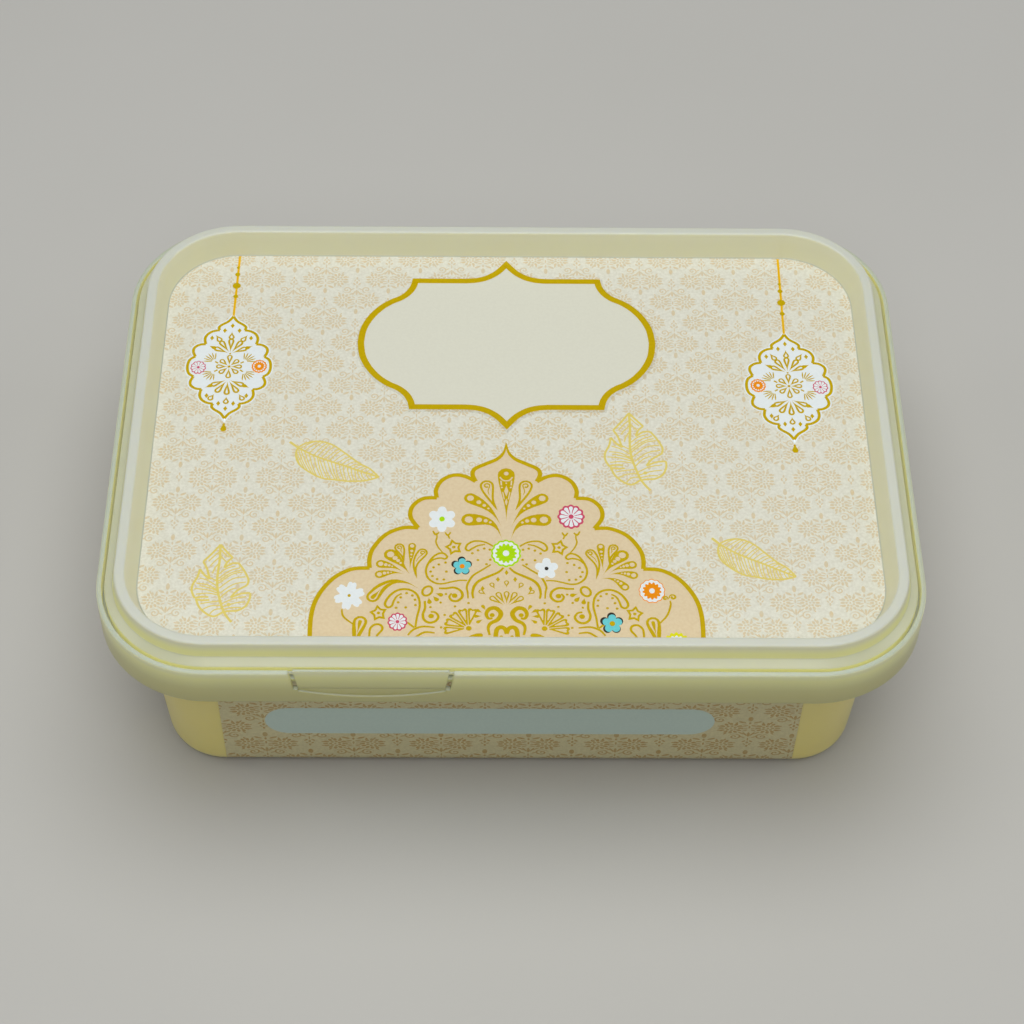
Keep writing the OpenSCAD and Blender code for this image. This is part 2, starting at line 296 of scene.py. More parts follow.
palmette, palm_in, palm_out = new_group(
    "Palmette", [("Vector", "NodeSocketVector", None)], [("Mask", "NodeSocketFloat")])
half = put(palmette, "ShaderNodeVectorMath", [palm_in.outputs["Vector"]], operation="ABSOLUTE").outputs[0]
sides = put(palmette, "ShaderNodeSeparateXYZ", [half]).outputs["X"]
height = put(palmette, "ShaderNodeSeparateXYZ", [palm_in.outputs["Vector"]]).outputs["Y"]
spot = put(palmette, "ShaderNodeCombineXYZ", [sides, height]).outputs[0]
marks = [
    leaf_mark(palmette, spot, 0, 3.7, 0.42, 0.85), leaf_mark(palmette, spot, 1.25, 2.45, 0.28, 0.72, -62),
    leaf_mark(palmette, spot, 0, 2.1, 0.2, 0.42), leaf_mark(palmette, spot, 0.75, 1.35, 0.16, 0.55, -75),
    leaf_mark(palmette, spot, 1.0, 0.75, 0.14, 0.6, -84), leaf_mark(palmette, spot, 0, 0.55, 0.16, 0.5),
    leaf_mark(palmette, spot, 0.8, -0.1, 0.14, 0.55, 78), leaf_mark(palmette, spot, 0.7, -0.75, 0.15, 0.5, 60),
    petals_mark(palmette, spot, 3.05, 0.15, 1.6, 0.46, 0.29, 12), petals_mark(palmette, spot, 3.05, 0.15, 0.8, 0.27, 0.25, 7),
    leaf_mark(palmette, spot, 3.05, 0.15, 0.2, 0.2), leaf_mark(palmette, spot, 2.2, 2.05, 0.17, 0.45, 15),
    leaf_mark(palmette, spot, 3.5, 2.2, 0.17, 0.42, -22), leaf_mark(palmette, spot, 4.95, 0.9, 0.16, 0.4, -74),
    leaf_mark(palmette, spot, 4.95, -0.6, 0.16, 0.4, -106), leaf_mark(palmette, spot, 3.9, -1.95, 0.17, 0.42, 35),
    leaf_mark(palmette, spot, 0, -2.3, 0.24, 0.85), leaf_mark(palmette, spot, 0.62, -2.1, 0.17, 0.8, -26),
    leaf_mark(palmette, spot, 1.2, -1.8, 0.16, 0.75, -52), curl_mark(palmette, spot, 2.25, -3.15, 1.08, 0.74, 0.15, 60),
    leaf_mark(palmette, spot, 1.0, -3.3, 0.15, 0.55, -60), leaf_mark(palmette, spot, 0, -4.15, 0.12, 0.6),
    leaf_mark(palmette, spot, 0.6, -5.0, 0.2, 0.42, 38), leaf_mark(palmette, spot, 0, -5.5, 0.22, 0.42),
    leaf_mark(palmette, spot, 0.45, -6.1, 0.16, 0.34, -35), leaf_mark(palmette, spot, 0, -6.8, 0.2, 0.4),
]
whole = marks[0]
for mark in marks[1:]:
    whole = maths(palmette, "MAXIMUM", whole, mark)
palmette.links.new(whole, palm_out.inputs["Mask"])
print("group made:", palmette.name, "with", len(palmette.nodes), "nodes")

# %% Group: the half-drop repeat
WIDE, HIGH = 14.5, 13.1
damask, dam_in, dam_out = new_group(
    "Damask", [("Vector", "NodeSocketVector", None)], [("Mask", "NodeSocketFloat")])
found = []
for shift in (0.0, 0.5):
    moved = put(damask, "ShaderNodeVectorMath", [dam_in.outputs["Vector"], (WIDE * shift, HIGH * shift, 0)], operation="ADD").outputs[0]
    low_left, high_right = (-WIDE / 2, -7.6, -1), (WIDE / 2, HIGH - 7.6, 1)
    tile = put(damask, "ShaderNodeVectorMath", [moved, high_right, low_left], operation="WRAP").outputs[0]
    found.append(use_group(damask, palmette, {"Vector": tile}).outputs["Mask"])
damask.links.new(maths(damask, "MAXIMUM", *found), dam_out.inputs["Mask"])
print("group made:", damask.name, "repeat", WIDE, "x", HIGH, "mm")

# %% [markdown]
# ## Ink on film
# A printed film is ink dots under a clear, satin skin. Seen close, every tint has a fine
# speckle, and the film over it an orange-peel unevenness. One group gives both to every
# ink and ground here.

# %% Group: printed skin
printed_skin, print_in, print_out = new_group(
    "Printed skin", [("Speckle", "NodeSocketFloat", 0.5)],
    [("Tone", "NodeSocketFloat"), ("Roughness", "NodeSocketFloat"), ("Height", "NodeSocketFloat")])
where = put(printed_skin, "ShaderNodeTexCoord").outputs["Object"]
dots = put(printed_skin, "ShaderNodeTexVoronoi", {"Vector": where, "Scale": 3600.0, "Randomness": 0.35})
uneven = put(printed_skin, "ShaderNodeTexNoise", {"Vector": where, "Scale": 1500.0, "Detail": 3.0})
peel = put(printed_skin, "ShaderNodeTexNoise", {"Vector": where, "Scale": 2400.0, "Detail": 1.0})
patchy = put(printed_skin, "ShaderNodeMapRange", {"Value": uneven.outputs["Fac"], 1: 0.36, 2: 0.64}).outputs[0]
mottle = maths(printed_skin, "MULTIPLY", maths(printed_skin, "ADD", dots.outputs["Distance"], patchy), 0.6)
tone_out = maths(printed_skin, "MULTIPLY", mottle, print_in.outputs["Speckle"])
rough_out = maths(printed_skin, "MULTIPLY_ADD", uneven.outputs["Fac"], 0.14, 0.3)
for socket, value in zip(print_out.inputs, (tone_out, rough_out, peel.outputs["Fac"])):
    printed_skin.links.new(value, socket)


# %% Ink and film materials
def finish_print(tree, shader, colour, shade, speckle):
    """Speckles a colour towards a darker shade, and gives it the film's gloss and peel."""
    skin = use_group(tree, printed_skin, {"Speckle": speckle})
    tree.links.new(blend_colours(tree, skin.outputs["Tone"], colour, shade), shader.inputs["Base Color"])
    tree.links.new(skin.outputs["Roughness"], shader.inputs["Roughness"])
    bump = put(tree, "ShaderNodeBump", {"Strength": 0.06, "Distance": 0.0001, "Height": skin.outputs["Height"]})
    tree.links.new(bump.outputs[0], shader.inputs["Normal"])


def ink(name, colour, shade, speckle=0.5):
    material, tree, shader = new_material(name, IOR=1.47, Specular_IOR_Level=0.08)
    finish_print(tree, shader, colour, shade, speckle)
    return material


def damask_film(name, ground, motif, shade, size, at, strength, on_walls):
    """A film with the damask on it. size is the motif's stretch in x and y, at the repeat's start in mm."""
    material, tree, shader = new_material(name, IOR=1.47, Specular_IOR_Level=0.16)
    coords = put(tree, "ShaderNodeTexCoord").outputs
    across, along = (put(tree, "ShaderNodeSeparateXYZ", [coords["Object"]]).outputs[n] for n in "XY")
    if on_walls:
        place = put(tree, "ShaderNodeSeparateXYZ", [coords["Object"]]).outputs
        out = put(tree, "ShaderNodeSeparateXYZ", [coords["Normal"]]).outputs
        sideways = maths(tree, "GREATER_THAN", maths(tree, "ABSOLUTE", out["X"]), 0.6)
        downward = maths(tree, "GREATER_THAN", maths(tree, "ABSOLUTE", out["Z"]), 0.8)
        across = put(tree, "ShaderNodeMix", [sideways, None, place["X"], place["Y"]]).outputs[0]
        along = put(tree, "ShaderNodeMix", [downward, None, place["Z"], place["Y"]]).outputs[0]
    column = maths(tree, "MULTIPLY_ADD", across, 1000 / size[0], -at[0] / size[0])
    row = maths(tree, "MULTIPLY_ADD", along, 1000 / size[1], -at[1] / size[1])
    if not on_walls:
        row = maths(tree, "SUBTRACT", 7.2, maths(tree, "ABSOLUTE", row))
    spot = put(tree, "ShaderNodeCombineXYZ", [column, row]).outputs[0]
    mask = use_group(tree, damask, {"Vector": spot}).outputs["Mask"]
    patchy = put(tree, "ShaderNodeTexNoise", {"Vector": coords["Object"], "Scale": 1300.0, "Detail": 2.0}).outputs["Fac"]
    amount = maths(tree, "MULTIPLY", mask, maths(tree, "MULTIPLY_ADD", patchy, strength, strength * 0.5))
    finish_print(tree, shader, blend_colours(tree, amount, ground, motif), shade, 0.6)
    return material


lid_ground = damask_film(
    "Lid film ground", paint(232, 232, 220), paint(219, 197, 152), paint(204, 201, 184), (1, 1), (-28.1, -11.3), 0.95, False)
wall_ground = damask_film(
    "Tub film ground", paint(222, 214, 172), paint(188, 148, 78), paint(196, 187, 146), (1.31, 1.09), (4.0, 9.0), 0.95, True)

# %% [markdown]
# ## Finish the solids
# The tub, the lid and the tear tab keep their exact solids. They only get their plastic,
# the films get their print, and curved faces are shaded smooth while real edges stay crisp.


# %% Give the solids their materials
def dress(node, material, edge_angle=28):
    """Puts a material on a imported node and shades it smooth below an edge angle."""
    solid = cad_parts[node]
    solid.data.materials.clear()
    solid.data.materials.append(material)
    for face in solid.data.polygons:
        face.material_index = 0
    bpy.ops.object.select_all(action="DESELECT")
    solid.select_set(True)
    bpy.context.view_layer.objects.active = solid
    bpy.ops.object.shade_smooth_by_angle(angle=math.radians(edge_angle))
    print("dressed", node, "with", material.name, "-", len(solid.data.polygons), "faces")


dress("tub", tub_plastic)
dress("tear_tab", tab_plastic)
dress("lid", lid_plastic)
dress("lid_film", lid_ground)
dress("tub_film", wall_ground)

# %% [markdown]
# ## Drawing with ink
# The ornament is drawn in millimetres on the lid's panel, seen from above: x to the right,
# y towards the back. Each ink is one mesh, like one plate in a press. Lines become strips,
# areas are cut into triangles, and each new mark lies a hair above the last one.


# %% Curves and marks
def through(points, steps=7, closed=False):
    """A smooth line through points."""
    pts = [Vector(p) for p in points]
    count = len(pts)
    out = []
    for i in range(count if closed else count - 1):
        def at(k):
            return pts[(i + k) % count] if closed else pts[min(max(i + k, 0), count - 1)]
        a, b, c, d = at(-1), at(0), at(1), at(2)
        for s in range(steps):
            t = s / steps
            out.append(0.5 * (2 * b + (c - a) * t + (2 * a - 5 * b + 4 * c - d) * t ** 2 + (3 * b - a - 3 * c + d) * t ** 3))
    return out if closed else out + [pts[-1]]


def turned(points, degrees, at=(0, 0), scale=1.0):
    """Points turned round the origin, scaled and set down at a place."""
    c, s = math.cos(math.radians(degrees)) * scale, math.sin(math.radians(degrees)) * scale
    return [Vector((at[0] + p[0] * c - p[1] * s, at[1] + p[0] * s + p[1] * c)) for p in points]


class Plate:
    """One ink's marks on one surface. place turns (x, y, lift) in mm into a point of the row frame."""

    def __init__(self, name, material, place, lift, low=-55.5, high=55.5):
        self.name, self.material, self.place, self.lift = name, material, place, lift
        self.low, self.high, self.faces, self.count = low, high, [], 0

    def face(self, pts):
        """One convex face, cut off at the film's front and back edges."""
        for sign, edge in ((1, self.low), (-1, -self.high)):
            kept = []
            for p, q in zip(pts, pts[1:] + pts[:1]):
                a, b = sign * p[1] - edge, sign * q[1] - edge
                if a >= 0:
                    kept.append(p)
                if a * b < 0:
                    kept.append(p.lerp(q, a / (a - b)))
            pts = kept
            if len(pts) < 3:
                return
        self.faces.append((pts, self.lift + 0.0004 * (self.count % 31) + 0.00007 * (len(self.faces) % 5)))

    def area(self, points):
        """A filled outline, convex or not."""
        pts = [Vector((p[0], p[1])) for p in points]
        for tri in tessellate_polygon([[p.to_3d() for p in pts]]):
            self.face([pts[i] for i in tri])
        self.count += 1

    def line(self, points, width, closed=False, taper=None):
        """A line of that width. taper gives the widths at start, middle and end as shares."""
        pts = [Vector((p[0], p[1])) for p in points]
        count = len(pts)
        edge = []
        for i, p in enumerate(pts):
            a = pts[i - 1] if closed or i else p
            b = pts[(i + 1) % count] if closed or i < count - 1 else p
            way_in, way_out = (p - a).normalized(), (b - p).normalized()
            way = (way_in + way_out).normalized()
            side = Vector((-way.y, way.x))
            reach = max(side.dot(Vector((-way_out.y, way_out.x))), side.dot(Vector((-way_in.y, way_in.x))), 0.45)
            t = i / max(count - 1, 1)
            share = 1.0 if taper is None else (
                taper[0] + (taper[1] - taper[0]) * math.sin(math.pi * t) if t < 0.5
                else taper[2] + (taper[1] - taper[2]) * math.sin(math.pi * t))
            edge.append((p + side * width * share / 2 / reach, p - side * width * share / 2 / reach))
        for i in range(count if closed else count - 1):
            a, b = edge[i], edge[(i + 1) % count]
            self.face([a[0], b[0], b[1], a[1]])
        self.count += 1

    def dot(self, x, y, radius, sides=10, tall=1.0):
        turns = [k * math.tau / sides for k in range(sides)]
        self.area([(x + radius * math.cos(a), y + radius * tall * math.sin(a)) for a in turns])

    def mirrored(self, start, axis):
        """Repeats the marks from number start on the other side of an upright axis."""
        for pts, lift in list(self.faces[start:]):
            self.faces.append(([Vector((2 * axis - p.x, p.y)) for p in reversed(pts)], lift + 0.000035))

    def mesh(self, body):
        """Makes the object."""
        verts, faces = [], []
        for pts, lift in self.faces:
            if sum(p.x * q.y - q.x * p.y for p, q in zip(pts, pts[1:] + pts[:1])) < 0:
                pts = list(reversed(pts))
            faces.append(tuple(range(len(verts), len(verts) + len(pts))))
            verts += [self.place(p.x, p.y, lift) for p in pts]
        data = bpy.data.meshes.new(self.name)
        data.from_pydata(verts, [], faces)
        data.materials.append(self.material)
        data.validate()
        thing = bpy.data.objects.new(self.name, data)
        bpy.context.scene.collection.objects.link(thing)
        thing.visible_shadow = False
        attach(thing, body)
        print("printed", self.name, "-", len(faces), "faces")
        return thing


# %% The plates for the lid
PANEL_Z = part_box("lid_film")[1].z


def on_lid(x, y, lift):
    return (x * MM, y * MM, PANEL_Z + lift * MM)


gold_ink = ink("Gold ink", paint(199, 171, 0), paint(179, 149, 0))
pale_gold_ink = ink("Pale gold ink", paint(226, 209, 116), paint(213, 194, 100))
peach_ink = ink("Peach ink", paint(226, 209, 176), paint(214, 192, 154), 0.6)
cream_ink = ink("Cream ink", paint(221, 221, 206), paint(210, 209, 194), 0.35)
white_ink = ink("White ink", paint(232, 238, 240), paint(214, 224, 228), 0.35)
lime_ink = ink("Lime ink", paint(176, 222, 10), paint(158, 208, 6))
yellow_ink = ink("Lemon ink", paint(226, 224, 20), paint(206, 206, 14))
pink_ink = ink("Rose ink", paint(206, 84, 112), paint(188, 66, 96))
blue_ink = ink("Sky ink", paint(112, 208, 216), paint(92, 190, 200))
orange_ink = ink("Orange ink", paint(240, 148, 14), paint(226, 130, 8))
dark_ink = ink("Dark ink", paint(60, 56, 48), paint(40, 38, 34))
string_ink = ink("Amber ink", paint(232, 186, 20), paint(218, 170, 12))
shade_ink = ink("Soft shade ink", paint(120, 112, 84), paint(104, 98, 72))
shade_ink.node_tree.nodes["Principled BSDF"].inputs["Alpha"].default_value = 0.13

fills = {
    "peach": Plate("print_arch_ground", peach_ink, on_lid, 0.012),
    "cream": Plate("print_name_panel", cream_ink, on_lid, 0.012),
    "pendant": Plate("print_pendant_ground", white_ink, on_lid, 0.012),
    "leaf": Plate("print_leaves", pale_gold_ink, on_lid, 0.012),
    "shade": Plate("print_soft_shade", shade_ink, on_lid, 0.006),
}
gold = Plate("print_gold", gold_ink, on_lid, 0.03)
plates = {
    "white": Plate("print_white", white_ink, on_lid, 0.05),
    "pink": Plate("print_rose", pink_ink, on_lid, 0.05),
    "blue": Plate("print_sky", blue_ink, on_lid, 0.05),
    "dark": Plate("print_dark", dark_ink, on_lid, 0.045),
    "lime": Plate("print_lime", lime_ink, on_lid, 0.05),
    "orange": Plate("print_orange", orange_ink, on_lid, 0.05),
    "yellow": Plate("print_lemon", yellow_ink, on_lid, 0.05),
}
tops = {
    "white": Plate("print_white_top", white_ink, on_lid, 0.07),
    "pink": Plate("print_rose_top", pink_ink, on_lid, 0.085),
    "lime": Plate("print_lime_top", lime_ink, on_lid, 0.085),
    "orange": Plate("print_orange_top", orange_ink, on_lid, 0.085),
    "dark": Plate("print_dark_top", dark_ink, on_lid, 0.085),
    "gold": Plate("print_gold_top", gold_ink, on_lid, 0.085),
    "peach": Plate("print_peach_top", peach_ink, on_lid, 0.06),
}
eyes = {"white": Plate("print_white_eyes", white_ink, on_lid, 0.1)}

# %% [markdown]
# ## The framed panel
# At the back of the lid lies a blank cream panel in a gold frame: two straight edges, an
# ogee point at the middle of each, notched corners and round ends. One quarter is drawn
# and mirrored twice.

# %% Gold frame and cream panel
FRAME_AT = (-0.95, 28.5)
quarter = (
    through([(0, 24.7), (2.1, 22.1), (4.45, 20.4), (6.8, 19.6), (9.2, 19.35)], 4)
    + [Vector((15, 19.35)), Vector((20.95, 19.35))]
    + through([(20.95, 19.35), (21.4, 17.4), (22.5, 15.4), (24.2, 13.8), (26.3, 12.6), (28.7, 10.6), (30.9, 7.6), (32.4, 4.0), (32.9, 0)], 4)[1:]
)
ring = quarter + [Vector((p.x, -p.y)) for p in reversed(quarter[:-1])]
ring = ring + [Vector((-p.x, p.y)) for p in reversed(ring[1:-1])]
frame_line = [Vector((p.x + FRAME_AT[0], p.y + FRAME_AT[1])) for p in ring]
fills["shade"].line([p + Vector((0.15, -0.4)) for p in frame_line[4:-4]], 2.3)
fills["cream"].area(frame_line)
gold.line(frame_line, 1.5, closed=True)

# %% [markdown]
# ## The scalloped arch
# The arch is the large form of the print: an ogee point, then four lobes on each side, each
# larger than the last, down to the lid's front edge. It is filled with peach and outlined
# in gold.

# %% Arch ground and outline
AXIS = -1.1
TALLER = 1.14
LOBES = [
    [(0, -1.3), (0.5, -3.9), (1.9, -5.8), (4.3, -7.2), (6.7, -8.6), (7.3, -10.2), (6.6, -12.2)],
    [(6.6, -12.2), (8.9, -10.8), (11.4, -10.5), (13.9, -12.0), (15.1, -14.6), (14.9, -16.8)],
    [(14.9, -16.8), (17.9, -17.1), (20.1, -19.3), (20.4, -22.2), (18.7, -25.1)],
    [(18.7, -25.1), (22.0, -25.1), (25.6, -27.0), (28.1, -30.6), (28.8, -33.4), (28.7, -35.9)],
    [(28.7, -35.9), (32.6, -36.3), (36.4, -38.9), (39.3, -43.6), (40.4, -48.9), (40.3, -57)],
]
outline = []
for lobe in LOBES:
    outline += through(lobe, 6)[:-1]
outline.append(Vector(LOBES[-1][-1]))
arch_right = [Vector((AXIS + p.x, p.y)) for p in outline]
arch_left = [Vector((AXIS - p.x, p.y)) for p in outline]
fills["peach"].area(arch_right + list(reversed(arch_left))[:-1])
for lobe in LOBES:
    start = len(gold.faces)
    thin = (0.2, 1.0, 1.0) if lobe is LOBES[0] else None
    gold.line([Vector((AXIS + p.x, p.y)) for p in through(lobe, 6)], 0.98, taper=thin)
    gold.mirrored(start, AXIS)

# %% [markdown]
# ## Drops, curls and dots
# The arch is filled the way a hand with a henna cone fills it: drops with rings inside them,
# hooked leaves, curls that end in a blob, fans of petals and rows of dots. Each kind is a
# small function, so that the whole can be laid out as a list.


# %% Ornament kinds
def drop_shape(head, tip, fat, bend=0.0, steps=9, way=None):
    """Outline of a drop: round at head, that wide, its tail thinning to tip. It bends sideways, or follows a way."""
    head, tip = Vector(head), Vector(tip)
    if way is None:
        side = Vector((tip.y - head.y, head.x - tip.x)).normalized()
        way = [tip.lerp(head, k / 12) + side * bend * math.sin(math.pi * k / 12) for k in range(13)]
    left, other = [], []
    for k in range(steps):
        t = k / (steps - 1)
        spot = t * (len(way) - 1)
        first = min(int(spot), len(way) - 2)
        along = (way[first + 1] - way[first]).normalized()
        middle = way[first].lerp(way[first + 1], spot - first)
        half = fat / 2 * math.sin(math.pi / 2 * t ** 1.9)
        left.append(middle + Vector((-along.y, along.x)) * half)
        other.append(middle - Vector((-along.y, along.x)) * half)
    turn = math.atan2(along.y, along.x)
    cap = [head + Vector((math.cos(turn + a), math.sin(turn + a))) * fat / 2 for a in (1.15, 0.58, 0, -0.58, -1.15)]
    return left + cap + list(reversed(other[1:]))


def along_drop(head, tip, bend, t):
    head, tip = Vector(head), Vector(tip)
    side = Vector((tip.y - head.y, head.x - tip.x)).normalized()
    return tip.lerp(head, t) + side * bend * math.sin(math.pi * t)


def drop(head, tip, fat, bend=0.0, line=0.5, inside="none", light="peach", hole=0.5):
    """A gold drop: full, full with lights or a hole in it, or an outline with a curl in it."""
    shape = drop_shape(head, tip, fat, bend)
    if inside in ("full", "lights", "hole"):
        gold.area(shape)
        if inside == "lights":
            for t, size in ((1.0, 0.27), (0.8, 0.19), (0.66, 0.14), (0.54, 0.09)):
                p = along_drop(head, tip, bend, t)
                tops[light].dot(p.x, p.y, fat * size, 9)
        if inside == "hole":
            far = along_drop(head, tip, bend, 0.52)
            tops[light].area(drop_shape(head, far, fat * hole, 0, 6))
        return
    gold.line(shape, line, closed=True)
    if inside == "curl":
        inner = [Vector(head) + Vector((math.cos(a), math.sin(a))) * fat * (0.24 - 0.017 * a) for a in (0, 0.9, 1.8, 2.7, 3.6, 4.5, 5.4)]
        tail = [along_drop(head, tip, bend, t) for t in (0.62, 0.78)]
        gold.line(through(tail + inner, 3), line * 0.7, taper=(0.4, 1.0, 1.2))


def comma(points, line=0.5):
    """An outline that runs round a hook's end and back along it."""
    gold.line(through(points, 5), line, taper=(0.8, 1.0, 0.7))


def circle(x, y, radius, sides=12, squash=1.0, turn=0.0):
    round_pts = [(radius * math.cos(k * math.tau / sides), radius * squash * math.sin(k * math.tau / sides)) for k in range(sides)]
    return turned(round_pts, turn, (x, y))


def curl(x, y, radius, turns, start, hand=1, line=0.52, tail=()):
    """A curl that ends in a blob. tail are points that lead into it."""
    steps = int(12 * turns)
    pts = []
    for k in range(steps + 1):
        t = k / steps
        a = math.radians(start) + hand * math.tau * turns * t
        r = radius * (1 - 0.72 * t)
        pts.append(Vector((x + r * math.cos(a), y + r * math.sin(a))))
    lead = through(list(tail) + [pts[0]], 5)[:-1] if tail else []
    gold.line(lead + pts, line, taper=(0.55, 1.0, 1.1))
    gold.dot(pts[-1].x, pts[-1].y, radius * 0.3, 10)


def star(x, y, size, turn=90):
    """A five-pointed star with a light heart."""
    for plate, share in ((gold, 1.0), (tops["peach"], 0.58)):
        shape = []
        for k in range(10):
            r = size * share * (1.0 if k % 2 == 0 else 0.6)
            a = math.radians(turn) + k * math.pi / 5
            shape.append((x + r * math.cos(a), y + TALLER * r * math.sin(a)))
        plate.area(shape)
    gold_dot = tops["gold"]
    gold_dot.dot(x, y, size * 0.2, 8)


def dots(radius, *points):
    for x, y in points:
        gold.dot(x, y, radius, 8)


def dots_along(points, count, radius=0.29):
    """Dots at even steps along a smooth line."""
    path = through(points, 12)
    for k in range(count):
        p = path[round(k * (len(path) - 1) / max(count - 1, 1))]
        gold.dot(p.x, p.y, radius, 8)


def stroke(points, width=0.42, taper=(0.7, 1.0, 0.7)):
    gold.line(through(points, 5), width, taper=taper)


def ray(base, angle, near, far):
    """The two points of a ray from a base, at two distances."""
    way = Vector((math.cos(math.radians(angle)), math.sin(math.radians(angle))))
    return Vector(base) + way * far, Vector(base) + way * near


def heart_ray(base, angle, near, far, wide):
    """A fan's blade: narrow at near, two lobes at far, with a light heart in it."""
    half = [(0, 0.06), (0.84, 0.5), (0.95, 0.46), (1.0, 0.26), (0.93, 0.0)]
    outline = [(near + (far - near) * a, wide * b) for a, b in half]
    outline += [(a, -b) for a, b in reversed(outline[:-1])]
    gold.area(turned(outline, angle, base))
    middle = near + (far - near) * 0.68
    tops["peach"].area(turned([(middle + (a - middle) * 0.56, b * 0.5) for a, b in outline], angle, base))


# %% Fill the left half of the arch, upper part
begin = len(gold.faces)
tops_begin = {name: len(plate.faces) for name, plate in tops.items()}
drop((-5.3, -13.4), (-3.2, -19.8), 2.6, 0.3, 0.5, "curl")
drop((-8.8, -16.9), (-2.2, -24.6), 2.8, -1.1, inside="lights")
drop((-9.1, -22.8), (-2.0, -28.2), 3.3, -2.2, inside="lights")
comma([(-3.9, -30.0), (-5.6, -28.9), (-7.7, -28.6), (-9.2, -29.4), (-9.7, -30.6), (-9.1, -31.2), (-8.3, -30.6), (-7.0, -29.8), (-5.6, -29.5)])
dots(0.32, (-8.3, -31.9), (-7.1, -31.1), (-5.8, -30.6), (-4.6, -30.9), (-7.1, -33.7), (-5.3, -34.8), (-4.5, -33.6))
dots(0.32, (-13.9, -34.4), (-15.3, -34.9), (-16.4, -35.7), (-17.0, -36.8), (-16.6, -38.0), (-15.6, -38.8), (-14.2, -38.9), (-13.7, -36.8))
comma([(-17.3, -34.5), (-16.4, -33.6), (-15.0, -33.2), (-14.0, -33.4), (-13.6, -32.8), (-14.5, -31.9), (-15.9, -32.3), (-17.1, -33.8),
       (-17.9, -35.8), (-17.9, -37.4), (-17.3, -38.8), (-16.0, -39.8), (-14.5, -40.0), (-12.6, -39.5), (-10.9, -39.1), (-9.3, -39.1)])
star(-12.2, -30.3, 2.0, 105)
stroke([(-14.3, -32.0), (-15.4, -30.5), (-16.0, -28.9), (-15.8, -27.6), (-15.9, -26.5)], 0.38)
stroke([(-16.7, -25.9), (-16.1, -26.9), (-15.4, -26.3)], 0.46)
stroke([(-14.1, -26.3), (-13.5, -27.1), (-12.9, -26.2)], 0.46)
stroke([(-13.5, -27.0), (-13.1, -28.0)], 0.4)
for head, tip, fat, bend, inside in (
    ((-27.5, -34.8), (-22.6, -37.0), 2.1, -0.4, "lights"), ((-25.5, -32.3), (-21.3, -37.6), 2.9, -0.3, "lights"),
    ((-23.7, -30.4), (-22.7, -34.2), 1.8, -0.2, "curl"), ((-21.0, -30.0), (-21.4, -36.8), 1.7, 0.0, "lights"),
    ((-18.8, -31.8), (-19.9, -38.3), 1.9, 0.9, "curl"), ((-27.7, -37.6), (-22.4, -37.5), 2.0, -0.5, "lights"),
):
    drop(head, tip, fat, bend, 0.44, inside)

# %% Lower part, from the oval ring to the edge
comma([(-19.9, -51.3), (-19.6, -48.6), (-19.1, -45.8), (-19.4, -43.6), (-20.3, -42.2), (-21.7, -41.5), (-23.4, -41.6), (-24.9, -42.6),
       (-26.0, -44.2), (-26.3, -45.5), (-25.7, -46.2), (-24.9, -45.8), (-24.5, -44.5), (-23.9, -43.3), (-22.9, -42.6)], 0.56)
dots(0.32, (-21.9, -42.5), (-23.1, -43.6), (-23.6, -44.9), (-24.0, -46.3), (-22.0, -46.2), (-20.7, -43.1), (-20.1, -44.2), (-20.0, -45.6))
star(-27.6, -47.7, 1.95, 100)
gold.line(circle(-17.6, -41.9, 1.3, 14, 0.74, 62), 0.52, closed=True)
for angle in (-20, -50, -82):
    gold.area(drop_shape(*ray((-17.5, -41.9), angle, 1.6, 2.9), 1.0, 0, 5))
comma([(-15.2, -41.2), (-13.7, -41.2), (-12.0, -41.0), (-10.6, -41.9), (-10.3, -43.3), (-11.2, -44.4), (-12.4, -44.4), (-13.0, -43.4), (-12.5, -42.5)], 0.6)
gold.dot(-11.9, -43.1, 0.62)
comma([(-18.1, -44.5), (-18.0, -46.3), (-18.4, -48.0), (-18.1, -49.4), (-17.0, -50.1), (-15.8, -49.7), (-15.2, -48.6), (-15.8, -47.5), (-16.8, -47.3)], 0.6)
gold.dot(-16.7, -48.4, 0.62)
dots(0.3, (-13.7, -42.7), (-14.8, -44.9), (-16.9, -46.1), (-11.8, -45.9), (-9.0, -45.0), (-13.9, -48.1), (-14.6, -51.3), (-6.0, -45.9))
for angle in (80, 106, 133, 160, 187):
    heart_ray((-8.95, -51.5), angle, 0.9, 5.2, 2.0)
gold.dot(-8.9, -51.5, 0.62)
stroke([(-4.6, -53.2), (-4.9, -51.4), (-4.4, -50.2), (-3.1, -49.4), (-2.4, -48.3), (-2.4, -47.3), (-3.4, -46.3), (-4.6, -46.5),
        (-5.3, -47.7), (-4.9, -48.9), (-4.0, -48.9)], 0.95, (0.5, 1.1, 0.5))
gold.dot(-4.1, -48.1, 0.55)
for angle in (118, 150, 182, 214):
    gold.area(drop_shape(*ray((-4.7, -48.3), angle, 1.5, 2.8), 0.8, 0, 5))
stroke([(-4.4, -34.9), (-6.2, -36.3), (-8.0, -37.7), (-8.9, -39.2), (-9.4, -40.8), (-9.2, -42.2), (-9.1, -43.8)], 0.5)
stroke([(-1.7, -35.7), (-2.8, -36.9), (-4.8, -38.0), (-6.7, -39.1), (-7.8, -40.5), (-8.2, -42.4), (-8.0, -43.8)], 0.66)
for angle, reach in ((90, 3.4), (62, 3.6), (36, 3.7)):
    head, tip = ray((-1.1, -45.9), 180 - angle, 0.5, reach)
    drop(head, tip, 1.3, 0, inside="hole")
    head, tip = ray((-1.1, -45.9), 180 - angle, reach + 1.5, reach + 2.9)
    drop(head, tip, 1.1, 0, inside="hole")
for x, y in ((-1.1, -37.0), (-2.9, -38.8), (-6.1, -41.2)):
    gold.area([(x, y + 0.7), (x + 0.42, y), (x, y - 0.7), (x - 0.42, y)])
